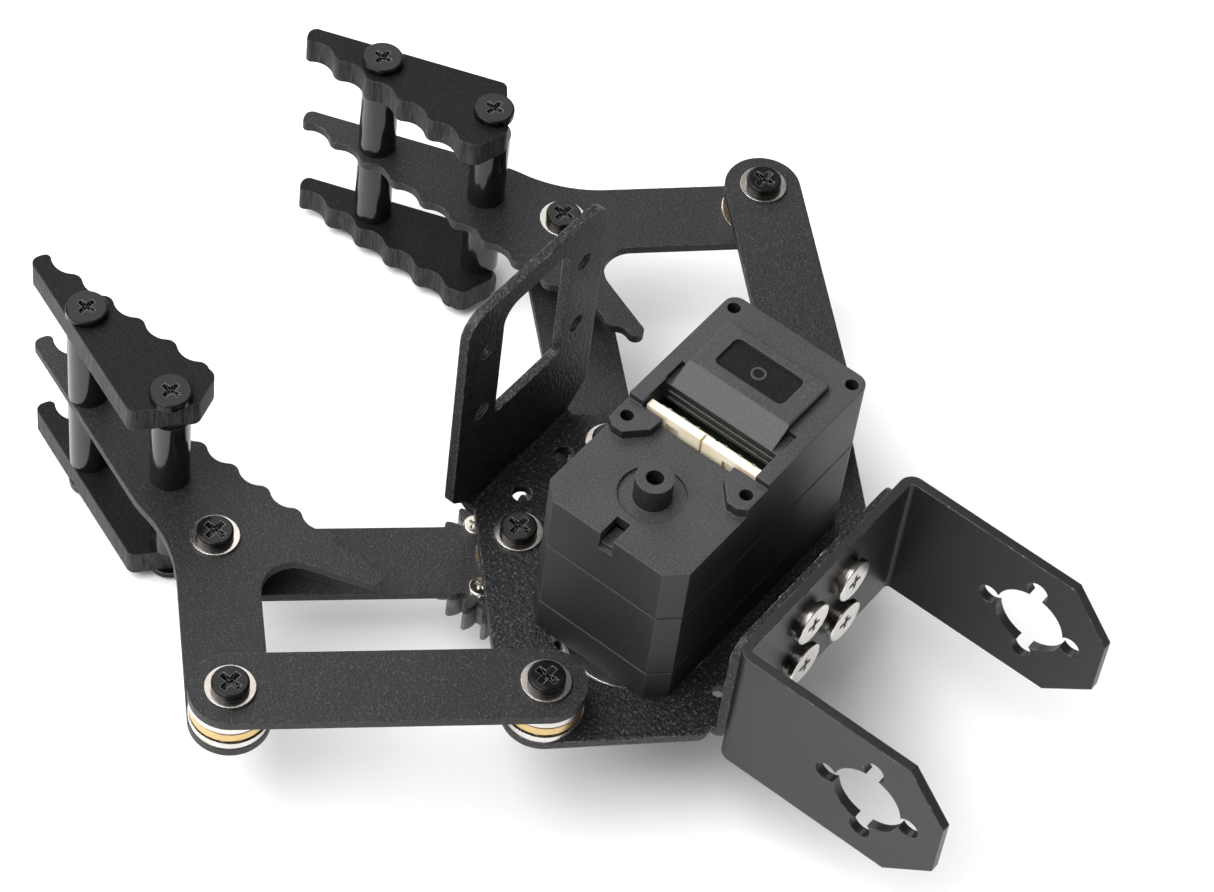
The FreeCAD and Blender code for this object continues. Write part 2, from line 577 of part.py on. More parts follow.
pinion = gear_solid(SERVO, PINION_LOW, HORN_LOW, drive_tooth)
pinion = pinion.cut(cyl(3.3, PINION_LOW - 1, 0, SERVO))
for p in HORN_SCREWS:
    pinion = pinion.cut(cyl(1.1, PINION_LOW - 1, 0, p))
write("drive_pinion", [pinion])
horn_screw = pan_screw(1.8, 1.3, 0.95, 7.4, 2.0, 0.5)
horn_screw.rotate(V(0, 0, 0), V(1, 0, 0), 180)
write("horn_screws", [placed(horn_screw, p.x, p.y, PINION_LOW) for p in HORN_SCREWS])
centre_screw = pan_screw(2.8, 1.8, 1.2, 8.0, 3.0, 0.7)
centre_screw.rotate(V(0, 0, 0), V(1, 0, 0), 180)
write("horn_centre_screw", [placed(centre_screw, SERVO.x, SERVO.y, HORN_LOW)])

# --------------------------------------------------------------- pivot pieces
HEAD_R = 2.75
HEAD_H = 1.35
WASHER_T = 0.5
WASHER_R = 3.65
NUT_H = 2.4
SLEEVE_TOP = LINK_Z + SHEET + BODY_GAP
GEAR_NUT_Z = GEAR_Z - BODY_GAP
ARM_NUT_Z = ARM_Z - BODY_GAP


def pivot_screw(top, bottom):
    return pan_screw(HEAD_R, HEAD_H, SHANK_R, top - bottom, 3.5, 0.95)


def race(z0, bore):
    return tube(BEARING_R, bore, z0, z0 + RACE_H)


def cage(z0):
    """Brass cage with twelve balls standing proud of both faces."""
    z1 = z0 + BEARING_H - 2 * RACE_H - 2 * BODY_GAP
    mid = (z0 + z1) / 2
    ball_r = (z1 - z0) / 2
    body = tube(5.75, 2.8, z0 + 0.45, z1 - 0.45)
    balls = []
    for i in range(12):
        a = 2 * math.pi * i / 12
        balls.append(Part.makeSphere(ball_r - 0.02, V(4.3 * math.cos(a), 4.3 * math.sin(a), mid)))
    for b in balls:
        pocket = Part.makeSphere(ball_r + 0.02, b.CenterOfMass)
        body = body.cut(pocket)
    return body, balls


RACE_FIXED = SLEEVE_R + 0.02
RACE_LOOSE = SLEEVE_R + OPEN_CLEAR
LOW_TOP = -SHEET
LOW_BOT = -SHEET - BEARING_H
cage_body, cage_balls = cage(0.0)


def stack(points, nut_z, sleeve_z, head_z):
    """Screw, washer, sleeve and nut of the pivots at the given points."""
    parts = {"screws": [], "washers": [], "sleeves": [], "nuts": []}
    for p in points:
        screw = pivot_screw(head_z, nut_z - NUT_H - 0.7)
        parts["screws"].append(placed(screw, p.x, p.y, head_z))
        parts["washers"].append(tube(WASHER_R, 1.6, head_z - WASHER_T, head_z, p))
        parts["sleeves"].append(tube(SLEEVE_R, SLEEVE_BORE_R, sleeve_z[0], sleeve_z[1], p))
        parts["nuts"].append(placed(hex_nut(5.5, 1.5, NUT_H), p.x, p.y, nut_z - NUT_H))
    return parts


def both(p):
    return [p, V(-p.x, p.y, 0)]


# pivots carried by the base: gear pivots below, link pivots above
gear_pivots = stack(both(C_LEFT), GEAR_NUT_Z, (GEAR_NUT_Z, LOW_TOP), WASHER_T)
link_pivots = stack(both(D_LEFT), LOW_TOP, (0, SLEEVE_TOP), SLEEVE_TOP + WASHER_T)
for kind in gear_pivots:
    write("base_pivot_" + kind, gear_pivots[kind] + link_pivots[kind])
base_races = [placed(race(LOW_TOP - RACE_H, RACE_FIXED), p.x, p.y, 0) for p in both(C_LEFT)]
base_races += [placed(race(0, RACE_FIXED), p.x, p.y, 0) for p in both(D_LEFT)]
write("base_bearing_races", base_races)
low_cage_z = LOW_BOT + RACE_H + BODY_GAP
up_cage_z = RACE_H + BODY_GAP
cage_spots = [(p, low_cage_z) for p in both(C_LEFT)] + [(p, up_cage_z) for p in both(D_LEFT)]
write("base_bearing_cages", [placed(cage_body, p.x, p.y, z) for p, z in cage_spots])
write("base_bearing_balls", [placed(b, p.x, p.y, z) for p, z in cage_spots for b in cage_balls])

# ------------------------------------------------------------ arms and gears
GEAR_SCREW_R = 8.0
gear_screw = pan_screw(1.75, 1.15, 0.95, 4.9, 1.9, 0.5)


def arm_set(side, prefix):
    """Toothed arm plate, gear below it and the four screws between them."""
    c = V(side * C_LEFT.x * -1, C_LEFT.y, 0)
    a = V(side * A_LEFT.x * -1, A_LEFT.y, 0)
    tooth = math.pi if side < 0 else math.pi + pitch_a / 2
    arm = strip(c, a, ARM_Z, ARM_Z + SHEET)
    arm = arm.fuse(gear_solid(c, ARM_Z, ARM_Z + SHEET, tooth)).removeSplitter()
    arm = arm.cut(cyl(SLEEVE_R + RUN_CLEAR, ARM_Z - 1, 0, c))
    arm = arm.cut(cyl(SLEEVE_R + RUN_CLEAR, ARM_Z - 1, 0, a))
    gear = gear_solid(c, GEAR_Z, ARM_Z, tooth)
    gear = gear.cut(cyl(SLEEVE_R + RUN_CLEAR, GEAR_Z - 1, 0, c))
    axis = math.atan2(a.y - c.y, a.x - c.x)
    spots = []
    for i in range(4):
        t = axis + math.radians(45 + 90 * i)
        p = c + V(GEAR_SCREW_R * math.cos(t), GEAR_SCREW_R * math.sin(t), 0)
        spots.append(p)
        arm = arm.cut(cyl(1.1, ARM_Z - 1, 0, p))
        gear = gear.cut(cyl(1.0, GEAR_Z - 1, 0, p))
    write(prefix + "_arm_plate", [arm])
    write(prefix + "_arm_gear", [gear])
    write(prefix + "_gear_screws", [placed(gear_screw, p.x, p.y, ARM_Z + SHEET) for p in spots])
    races = [placed(race(LOW_BOT, RACE_LOOSE), p.x, p.y, 0) for p in (c, a)]
    write(prefix + "_arm_races", races)


def link_set(side, prefix):
    """Upper parallel link and the races that turn with it."""
    d = V(side * D_LEFT.x * -1, D_LEFT.y, 0)
    b = V(side * B_LEFT.x * -1, B_LEFT.y, 0)
    link = strip(d, b, LINK_Z, LINK_Z + SHEET)
    link = link.cut(cyl(SLEEVE_R + RUN_CLEAR, LINK_Z - 1, LINK_Z + 3, d))
    link = link.cut(cyl(SLEEVE_R + OPEN_CLEAR, LINK_Z - 1, LINK_Z + 3, b))
    write(prefix + "_link_plate", [link])
    races = [placed(race(LINK_Z - RACE_H, RACE_LOOSE), p.x, p.y, 0) for p in (d, b)]
    write(prefix + "_link_races", races)


# ------------------------------------------------------------------- fingers
TIP_V = 44.2
HUMP_U = 11.8
VALLEY_U = 10.75
HUMP_PITCH = 6.15
HUMP_V0 = 12.55
LAST_V = HUMP_V0 + 5 * HUMP_PITCH
HUMP_HALF = 0.95
HUMP_EDGE_U = 11.5
S1 = (7.5, 31.7)
S2 = (4.05, 12.35)


def serration(first, last, z):
    """Steps from hump number first to last, rising along +y."""
    steps = []
    for k in range(first, last + 1):
        v = HUMP_V0 + HUMP_PITCH * k
        steps.append((V(HUMP_U, v, z), V(HUMP_EDGE_U, v + HUMP_HALF, z)))
        if k < last:
            rise = V(HUMP_EDGE_U, v + HUMP_PITCH - HUMP_HALF, z)
            steps.append((V(VALLEY_U, v + HUMP_PITCH / 2, z), rise))
    return steps


def hump_start(k, z):
    return V(HUMP_EDGE_U, HUMP_V0 + HUMP_PITCH * k - HUMP_HALF, z)


def finger_face(z):
    """Finger plate outline about the arm pivot, left-hand finger."""
    g = STRIP_R / math.sqrt(2)
    o = LINK_OFFSET
    w = V(-g - 4.9, g - 4.9, z)
    throat = V(0.569, -14.988, z)
    t_in = throat + V(-g, g, 0) * (5.0 / STRIP_R)
    t_out = throat + V(4.697, 1.716, 0)
    steps = [
        t_out,
        (throat + V(0.6, 4.964, 0), t_in),
        V(-o + g, -o - g, z),
        (V(-o - g, -o - g, z), V(-o - g, -o + g, z)),
        w,
        (V(-5.6, 4.3, z), V(-3.5, 10.0, z)),
        (V(-3.0, 12.4, z), V(-2.2, 14.7, z)),
        V(8.7, 43.2, z),
        (V(9.4, 44.1, z), V(10.3, TIP_V, z)),
    ]
    top = [(V(11.0, 43.95, z), V(HUMP_EDGE_U, LAST_V + 0.35, z))]
    climb = [hump_start(-5, z)] + serration(-5, 4, z)
    climb.append((V(VALLEY_U, HUMP_V0 + 4.5 * HUMP_PITCH, z), hump_start(5, z)))
    climb.append((V(HUMP_U, LAST_V - 0.3, z), V(HUMP_EDGE_U, LAST_V + 0.35, z)))
    down = climb_reversed(climb)
    tail = [(V(10.9, -20.3, z), V(11.1, -21.6, z)), (V(10.3, -23.3, z), V(8.6, -22.4, z))]
    return outline(steps + top + down[1:] + tail)


def climb_reversed(steps):
    """The same chain of arcs walked the other way."""
    ends = [s[1] if isinstance(s, tuple) else s for s in steps]
    back = [ends[-1]]
    for i in range(len(steps) - 1, 0, -1):
        if isinstance(steps[i], tuple):
            back.append((steps[i][0], ends[i - 1]))
        else:
            back.append(ends[i - 1])
    return back


def jaw_face(z):
    """Side plate of the jaw: serrated front, straight back, chamfered root."""
    climb = [hump_start(0, z)] + serration(0, 4, z)
    climb.append((V(VALLEY_U, HUMP_V0 + 4.5 * HUMP_PITCH, z), hump_start(5, z)))
    climb.append((V(HUMP_U, LAST_V - 0.3, z), V(HUMP_EDGE_U, LAST_V + 0.35, z)))
    climb.append((V(11.0, 43.95, z), V(10.3, TIP_V, z)))
    climb.append((V(9.4, 44.1, z), V(8.7, 43.2, z)))
    climb.append(V(-1.7, 15.9, z))
    climb.append((V(-1.9, 14.9, z), V(-1.3, 14.0, z)))
    climb.append(V(4.7, 9.0, z))
    climb.append((V(5.6, 8.5, z), V(6.6, 8.6, z)))
    climb.append(V(10.2, 9.6, z))
    climb.append((V(10.9, 10.0, z), V(HUMP_EDGE_U - 0.1, 10.9, z)))
    return outline(climb)


JAW_UP = STANDOFF_L
JAW_LOW = -SHEET - STANDOFF_L
jaw_screw = pan_screw(3.15, 1.3, SHANK_R, JAW_T + 4.5, 3.0, 0.8)
jaw_screw_low = turned_up(jaw_screw, V(0, 0, 0), V(1, 0, 0), 180)
upper_standoff = cyl(STANDOFF_R, 0, STANDOFF_L).cut(cyl(1.5, STANDOFF_L - 6, STANDOFF_L + 1))
upper_standoff = upper_standoff.fuse(cyl(SHANK_R, -6.5, 0)).removeSplitter()
lower_standoff = cyl(STANDOFF_R, JAW_LOW, -SHEET).cut(cyl(1.5, -8, 0))
lower_standoff = lower_standoff.cut(cyl(1.5, JAW_LOW - 1, JAW_LOW + 6))


def finger_set(side, prefix):
    """Finger plate, two jaw side plates, four standoffs and the pivot pieces."""
    spots = [V(A_LEFT.x + u, A_LEFT.y + v, 0) for u, v in (S1, S2)]

    def put(solids):
        if side < 0:
            return solids
        return [mirrored(s) for s in solids]

    body = finger_face(-SHEET).extrude(V(0, 0, SHEET))
    body.translate(V(A_LEFT.x, A_LEFT.y, 0))
    for p in spots + [A_LEFT, B_LEFT]:
        body = body.cut(cyl(1.55, -5, 3, p))
    write(prefix + "_finger_plate", put([body]))
    for name, z in (("upper_jaw", JAW_UP), ("lower_jaw", JAW_LOW - JAW_T)):
        jaw = jaw_face(z).extrude(V(0, 0, JAW_T))
        jaw.translate(V(A_LEFT.x, A_LEFT.y, 0))
        for p in spots:
            jaw = jaw.cut(cyl(1.6, z - 1, z + JAW_T + 1, p))
        write(prefix + "_" + name, put([jaw]))
    pillars = [placed(upper_standoff, p.x, p.y, 0) for p in spots]
    pillars += [placed(lower_standoff, p.x, p.y, 0) for p in spots]
    write(prefix + "_standoffs", put(pillars))
    heads = [placed(jaw_screw, p.x, p.y, JAW_UP + JAW_T) for p in spots]
    heads += [placed(jaw_screw_low, p.x, p.y, JAW_LOW - JAW_T) for p in spots]
    write(prefix + "_jaw_screws", put(heads))

    arm_pivot = stack([A_LEFT], ARM_NUT_Z, (ARM_NUT_Z, LOW_TOP), WASHER_T)
    link_pivot = stack([B_LEFT], LOW_TOP, (0, SLEEVE_TOP), SLEEVE_TOP + WASHER_T)
    races = [
        placed(race(LOW_TOP - RACE_H, RACE_FIXED), A_LEFT.x, A_LEFT.y, 0),
        placed(race(0, RACE_FIXED), B_LEFT.x, B_LEFT.y, 0),
    ]
    link_pivot["sleeves"] += races
    for kind in arm_pivot:
        write(prefix + "_finger_" + kind, put(arm_pivot[kind] + link_pivot[kind]))
    places = [(A_LEFT, low_cage_z), (B_LEFT, up_cage_z)]
    write(prefix + "_finger_cages", put([placed(cage_body, p.x, p.y, z) for p, z in places]))
    balls = [placed(b, p.x, p.y, z) for p, z in places for b in cage_balls]
    write(prefix + "_finger_balls", put(balls))


for side, prefix in ((-1, "left"), (1, "right")):
    arm_set(side, prefix)
    link_set(side, prefix)
    finger_set(side, prefix)
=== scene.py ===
import json
import math

import bmesh
import bpy
from mathutils import Matrix, Vector


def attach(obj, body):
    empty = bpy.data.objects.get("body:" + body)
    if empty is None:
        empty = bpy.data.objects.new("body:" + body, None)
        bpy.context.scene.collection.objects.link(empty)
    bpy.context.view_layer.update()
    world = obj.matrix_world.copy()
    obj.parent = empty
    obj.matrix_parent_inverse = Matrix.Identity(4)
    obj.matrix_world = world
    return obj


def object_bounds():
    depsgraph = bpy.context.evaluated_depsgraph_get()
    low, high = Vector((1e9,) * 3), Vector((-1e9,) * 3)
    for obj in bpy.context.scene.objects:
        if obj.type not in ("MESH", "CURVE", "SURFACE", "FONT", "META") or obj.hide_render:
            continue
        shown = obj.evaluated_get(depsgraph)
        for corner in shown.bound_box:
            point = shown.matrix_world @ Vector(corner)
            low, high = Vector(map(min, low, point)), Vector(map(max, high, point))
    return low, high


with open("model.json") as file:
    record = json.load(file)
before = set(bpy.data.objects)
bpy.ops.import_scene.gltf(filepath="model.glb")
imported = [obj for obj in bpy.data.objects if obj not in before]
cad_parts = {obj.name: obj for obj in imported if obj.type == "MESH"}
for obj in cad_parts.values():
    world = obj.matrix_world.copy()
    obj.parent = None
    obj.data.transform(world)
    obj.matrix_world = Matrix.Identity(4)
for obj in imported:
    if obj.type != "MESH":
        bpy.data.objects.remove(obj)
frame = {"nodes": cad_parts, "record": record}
cad_lo, cad_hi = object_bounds()
NODES = frame["nodes"]

# ------------------------------------------------------------------ camera
CAM_PLACE = Vector((-0.30683, -0.122174, 0.464535))
CAM_AZIMUTH = math.radians(-148.9271)
CAM_ELEVATION = math.radians(52.0216)
CAM_ROLL = math.radians(8.5733)
QUARTER = math.pi / 2
cam_data = bpy.data.cameras.new("camera")
cam_data.sensor_width = 36.0
cam_data.lens = 118.87
cam_data.clip_start = 0.01
cam_data.clip_end = 20.0
cam = bpy.data.objects.new("camera", cam_data)
heading = Matrix.Rotation(CAM_AZIMUTH + QUARTER, 4, "Z")
tilt = Matrix.Rotation(QUARTER - CAM_ELEVATION, 4, "X")
roll = Matrix.Rotation(CAM_ROLL, 4, "Z")
cam.matrix_world = Matrix.Translation(CAM_PLACE) @ heading @ tilt @ roll
bpy.context.scene.collection.objects.link(cam)
bpy.context.scene.camera = cam
bpy.context.scene.view_settings.view_transform = "Standard"


# --------------------------------------------------------------- materials
class Mat:
    """Small builder for node materials; coordinates are metres in the object."""

    def __init__(self, name):
        self.m = bpy.data.materials.new(name)
        self.m.use_nodes = True
        self.nt = self.m.node_tree
        self.bsdf = self.nt.nodes["Principled BSDF"]
        self.obj = self.add("ShaderNodeTexCoord").outputs["Object"]
        self.normal = None

    def add(self, kind, **attrs):
        n = self.nt.nodes.new(kind)
        for k, v in attrs.items():
            setattr(n, k, v)
        return n

    def link(self, a, b):
        self.nt.links.new(a, b)
        return self

    def put(self, **values):
        for k, v in values.items():
            self.bsdf.inputs[k.replace("_", " ")].default_value = v
        return self

    def stretch(self, x, y, z):
        n = self.add("ShaderNodeMapping")
        n.inputs["Scale"].default_value = (x, y, z)
        self.link(self.obj, n.inputs["Vector"])
        return n.outputs["Vector"]

    def noise(self, size, detail=3.0, rough=0.55, vector=None):
        """Noise whose features are about size metres across."""
        n = self.add("ShaderNodeTexNoise")
        n.inputs["Scale"].default_value = 1.0 / size
        n.inputs["Detail"].default_value = detail
        n.inputs["Roughness"].default_value = rough
        self.link(vector or self.obj, n.inputs["Vector"])
        return n.outputs["Fac"]

    def cells(self, size, vector=None):
        n = self.add("ShaderNodeTexVoronoi")
        n.inputs["Scale"].default_value = 1.0 / size
        self.link(vector or self.obj, n.inputs["Vector"])
        return n.outputs["Distance"]

    def remap(self, fac, a, b, lo=0.0, hi=1.0):
        n = self.add("ShaderNodeMapRange")
        for key, v in (("From Min", a), ("From Max", b), ("To Min", lo), ("To Max", hi)):
            n.inputs[key].default_value = v
        self.link(fac, n.inputs["Value"])
        return n.outputs["Result"]

    def math(self, op, a, b):
        n = self.add("ShaderNodeMath", operation=op)
        for i, v in enumerate((a, b)):
            if isinstance(v, float):
                n.inputs[i].default_value = v
            else:
                self.link(v, n.inputs[i])
        return n.outputs[0]

    def mix(self, fac, a, b):
        """Colour between a and b; either can be a tuple or a socket."""
        n = self.add("ShaderNodeMix", data_type="RGBA")
        self.link(fac, n.inputs[0])
        for i, v in ((6, a), (7, b)):
            if isinstance(v, tuple):
                n.inputs[i].default_value = v + (1.0,)
            else:
                self.link(v, n.inputs[i])
        return n.outputs[2]

    def soft_edges(self, radius):
        """Rounds the shading over edges and returns a mask of those edges."""
        bev = self.add("ShaderNodeBevel", samples=4)
        bev.inputs["Radius"].default_value = radius
        self.normal = bev.outputs["Normal"]
        geo = self.add("ShaderNodeNewGeometry")
        dot = self.add("ShaderNodeVectorMath", operation="DOT_PRODUCT")
        self.link(bev.outputs["Normal"], dot.inputs[0])
        self.link(geo.outputs["Normal"], dot.inputs[1])
        return self.remap(dot.outputs["Value"], 0.985, 0.80)

    def bump(self, height, distance, strength=1.0):
        n = self.add("ShaderNodeBump")
        n.inputs["Distance"].default_value = distance
        n.inputs["Strength"].default_value = strength
        self.link(height, n.inputs["Height"])
        if self.normal is not None:
            self.link(self.normal, n.inputs["Normal"])
        self.normal = n.outputs["Normal"]
        return self

    def side_mask(self):
        """1 on walls that stand upright in the object, 0 on its flat faces."""
        geo = self.add("ShaderNodeTexCoord")
        sep = self.add("ShaderNodeSeparateXYZ")
        self.link(geo.outputs["Normal"], sep.inputs[0])
        flat = self.math("ABSOLUTE", sep.outputs["Z"], 0.0)
        return self.remap(flat, 0.6, 0.4)

    def done(self, color=None, rough=None):
        if color is not None:
            self.link(color, self.bsdf.inputs["Base Color"])
        if rough is not None:
            self.link(rough, self.bsdf.inputs["Roughness"])
        if self.normal is not None:
            self.link(self.normal, self.bsdf.inputs["Normal"])
        return self.m


def coat(name, dark, light, edge_wear_and_highlight, grain, depth, rough, edge, speck, shine, chip):
    """Painted sheet: grain and specks in the coat; edges lighter in patches, partly rubbed paint and
    partly painted highlight.
    """
    m = Mat(name)
    edges = m.soft_edges(edge)
    fine = m.noise(grain, 2.0, 0.6)
    lump = m.cells(grain * 1.7)
    broad = m.noise(0.018, 2.0, 0.5)
    specks = m.remap(fine, 0.56, 0.68)
    tone = m.mix(m.remap(broad, 0.3, 0.7), dark, tuple(c * 1.25 for c in dark))
    tone = m.mix(m.math("MULTIPLY", specks, speck), tone, light)
    patchy = m.remap(m.noise(0.0016, 3.0, 0.7), 0.42, 0.62)
    # Edges lightened in patches: partly rubbed paint, partly a painted highlight along the edges.
    tone = m.mix(m.math("MULTIPLY", edges, m.math("MULTIPLY", patchy, 0.8)), tone, edge_wear_and_highlight)
    chips = m.remap(m.noise(0.0009, 3.0, 0.7), 0.62, 0.67)
    tone = m.mix(m.math("MULTIPLY", edges, m.math("MULTIPLY", chips, chip)), tone, (0.45, 0.45, 0.45))
    height = m.math("ADD", fine, m.math("MULTIPLY", lump, 0.6))
    m.bump(height, depth)
    uneven = m.math("ADD", broad, m.math("MULTIPLY", fine, 0.6))
    gloss = m.remap(uneven, 0.5, 1.1, rough - 0.07, rough + 0.09)
    m.put(Specular_IOR_Level=shine)
    return m.done(tone, gloss)


def metal(name, color, rough, scratch=0.35, edge=0.00012, grime=0.25, flat_face_shade=None):
    """Bare or plated metal with fine marks; faces that lie flat can take a painted shade, and edges get
    a painted highlight.
    """
    m = Mat(name)
    edges = m.soft_edges(edge)
    marks = m.noise(0.00025, 2.0, 0.6, m.stretch(1.0, 1.0, 7.0))
    broad = m.noise(0.003, 3.0, 0.6)
    dull = m.math("MULTIPLY", m.remap(broad, 0.45, 0.75), grime)
    tone = m.mix(dull, color, tuple(c * 0.45 for c in color))
    # Painted shade: faces that lie flat take a darker grey in place of a reflection.
    if flat_face_shade:
        tone = m.mix(m.side_mask(), flat_face_shade, tone)
    # Painted highlight: edges are lightened into bright rims.
    edge_highlight = tuple(min(1.0, c * 1.15) for c in color)
    tone = m.mix(m.math("MULTIPLY", edges, 0.5), tone, edge_highlight)
    m.bump(marks, 0.00001, scratch)
    m.put(Metallic=1.0)
    return m.done(tone, m.remap(m.math("ADD", broad, marks), 0.6, 1.4, rough * 0.8, rough * 1.35))


def screw_black(name):
    """Black oxide with an oily gloss; its rims carry a brown-grey painted highlight."""
    m = Mat(name)
    edges = m.soft_edges(0.00018)
    broad = m.noise(0.0014, 3.0, 0.6)
    tone = m.mix(m.remap(broad, 0.35, 0.7), (0.0015, 0.0015, 0.0018), (0.006, 0.0058, 0.0058))
    # Painted highlight: the rims are lightened to brown-grey.
    tone = m.mix(m.math("MULTIPLY", edges, 0.9), tone, (0.30, 0.295, 0.285))
    m.bump(m.noise(0.0002, 2.0, 0.6), 0.000012)
    m.put(Specular_IOR_Level=0.10, Coat_Weight=0.14, Coat_Roughness=0.03)
    return m.done(tone, m.remap(broad, 0.3, 0.7, 0.16, 0.32))


def plastic(name, dark, light, rough, grain=0.00028, depth=0.000035, edge=0.0003):
    """Moulded plastic with spark-eroded grain; upright walls get a painted shade and edges a painted
    highlight.
    """
    m = Mat(name)
    edges = m.soft_edges(edge)
    side = m.side_mask()
    fine = m.noise(grain, 2.0, 0.55)
    broad = m.noise(0.012, 3.0, 0.5)
    tone = m.mix(m.remap(broad, 0.3, 0.7), dark, light)
    # Painted shade: upright walls are darkened, and their light specks are thinned out.
    tone = m.mix(m.math("MULTIPLY", side, 0.8), tone, tuple(c * 0.2 for c in dark))
    specks = m.math("MULTIPLY", m.remap(fine, 0.52, 0.68), m.remap(side, 0.0, 1.0, 1.0, 0.25))
    tone = m.mix(m.math("MULTIPLY", specks, 0.6), tone, tuple(c * 2.2 for c in light))
    # Painted highlight: edges are lightened.
    tone = m.mix(m.math("MULTIPLY", edges, 0.5), tone, tuple(min(1.0, c * 2.4) for c in light))
    m.bump(fine, depth)
    m.put(Specular_IOR_Level=0.34)
    return m.done(tone, m.remap(m.math("ADD", broad, fine), 0.6, 1.4, rough - 0.06, rough + 0.08))


def jaw_coat(name):
    """Blasted and blackened faces; milled walls with upright tool marks, painted lighter as sheen."""
    m = Mat(name)
    edges = m.soft_edges(0.00035)
    side = m.side_mask()
    fine = m.noise(0.0002, 2.0, 0.6)
    streak = m.noise(0.0004, 3.0, 0.6, m.stretch(1.0, 1.0, 0.12))
    broad = m.noise(0.01, 2.0, 0.5)
    face = m.mix(m.remap(fine, 0.5, 0.75), (0.005, 0.0047, 0.0047), (0.022, 0.021, 0.021))
    # Painted sheen: upright walls are lighter than the faces, streaked like tool marks.
    wall_tone_with_sheen = m.mix(m.remap(streak, 0.35, 0.68), (0.012, 0.011, 0.011), (0.048, 0.045, 0.044))
    tone = m.mix(side, face, wall_tone_with_sheen)
    # Painted highlight: edges are lightened.
    tone = m.mix(m.math("MULTIPLY", edges, 0.35), tone, (0.14, 0.135, 0.132))
    tool_marks = m.math("MULTIPLY", m.math("MULTIPLY", streak, side), 0.4)
    m.bump(m.math("ADD", m.math("MULTIPLY", fine, 0.7), tool_marks), 0.00004)
    m.put(Specular_IOR_Level=0.10)
    return m.done(tone, m.remap(m.math("ADD", broad, fine), 0.6, 1.4, 0.42, 0.56))


def gloss_black(name):
    """Turned standoff, black and glossy, with faint lathe rings."""
    m = Mat(name)
    edges = m.soft_edges(0.0002)
    rings = m.noise(0.00035, 1.0, 0.5, m.stretch(0.02, 0.02, 1.0))
    broad = m.noise(0.004, 2.0, 0.5)
    tone = m.mix(m.remap(broad, 0.3, 0.7), (0.004, 0.004, 0.005), (0.009, 0.009, 0.010))
    tone = m.mix(m.math("MULTIPLY", edges, 0.3), tone, (0.12, 0.12, 0.12))
    m.bump(rings, 0.000006)
    m.put(Specular_IOR_Level=0.32, Coat_Weight=0.22, Coat_Roughness=0.05)
    return m.done(tone, m.remap(broad, 0.3, 0.7, 0.10, 0.18))


def gear_coat(name):
    """Hard black gear: matt faces, tooth flanks polished by running."""
    m = Mat(name)
    edges = m.soft_edges(0.00012)
    side = m.side_mask()
    fine = m.noise(0.00018, 2.0, 0.6)
    broad = m.noise(0.003, 2.0, 0.5)
    face = m.mix(m.remap(fine, 0.45, 0.75), (0.020, 0.020, 0.021), (0.045, 0.044, 0.044))
    flank = m.mix(m.remap(broad, 0.35, 0.65), (0.035, 0.034, 0.034), (0.11, 0.108, 0.105))
    tone = m.mix(side, face, flank)
    tone = m.mix(m.math("MULTIPLY", edges, 0.5), tone, (0.24, 0.235, 0.23))
    m.bump(fine, 0.00002)
    return m.done(tone, m.remap(broad, 0.3, 0.7, 0.32, 0.46))


def board(name):
    m = Mat(name)
    tracks = m.remap(m.cells(0.0018), 0.25, 0.32)
    tone = m.mix(tracks, (0.004, 0.007, 0.005), (0.010, 0.016, 0.011))
    m.bump(tracks, 0.00002)
    m.put(Coat_Weight=0.4)
    return m.done(tone, m.remap(m.noise(0.002), 0.3, 0.7, 0.25, 0.4))


def ivory(name):
    m = Mat(name)
    edges = m.soft_edges(0.00015)
    broad = m.noise(0.004, 3.0, 0.5)
    tone = m.mix(m.remap(broad, 0.3, 0.7), (0.80, 0.70, 0.50), (0.88, 0.80, 0.62))
    tone = m.mix(m.math("MULTIPLY", edges, 0.6), tone, (0.95, 0.91, 0.80))
    m.bump(m.noise(0.0004, 2.0, 0.5), 0.00001)
    m.put(Subsurface_Weight=0.15, Subsurface_Scale=0.001)
    return m.done(tone, m.remap(broad, 0.3, 0.7, 0.34, 0.46))


LOOKS = {
    "powder_black": coat(
        "powder_black", (0.004, 0.004, 0.0045), (0.105, 0.105, 0.11), (0.20, 0.20, 0.21),
        grain=0.0004, depth=0.00013, rough=0.46, edge=0.0004, speck=0.5, shine=0.34, chip=0.5),
    "satin_black": coat(
        "satin_black", (0.0045, 0.0045, 0.005), (0.012, 0.012, 0.0125), (0.13, 0.13, 0.13),
        grain=0.0003, depth=0.00001, rough=0.38, edge=0.0003, speck=0.25, shine=0.40, chip=0.9),
    "sand_black": coat(
        "sand_black", (0.0095, 0.009, 0.010), (0.092, 0.089, 0.093), (0.14, 0.135, 0.135),
        grain=0.00029, depth=0.00006, rough=0.50, edge=0.00025, speck=0.4, shine=0.28, chip=0.25),
    "jaw_black": jaw_coat("jaw_black"),
    "gloss_black": gloss_black("gloss_black"),
    "black_oxide": screw_black("black_oxide"),
    "bright_steel": metal("bright_steel", (0.76, 0.73, 0.69), 0.20, flat_face_shade=(0.32, 0.298, 0.275)),
    "bearing_steel": metal("bearing_steel", (0.62, 0.60, 0.57), 0.24, 0.5),
    "brass_cage": metal("brass_cage", (0.62, 0.44, 0.20), 0.30),
    "gear_dark": gear_coat("gear_dark"),
    "horn_silver": metal("horn_silver", (0.78, 0.78, 0.79), 0.30),
    "servo_plastic": plastic("servo_plastic", (0.024, 0.024, 0.0255), (0.035, 0.035, 0.037), 0.47),
    "ivory_plastic": ivory("ivory_plastic"),
    "board_green": board("board_green"),
    "motor_can": metal("motor_can", (0.50, 0.50, 0.50), 0.35),
    "bush_bronze": metal("bush_bronze", (0.48, 0.33, 0.18), 0.42),
}

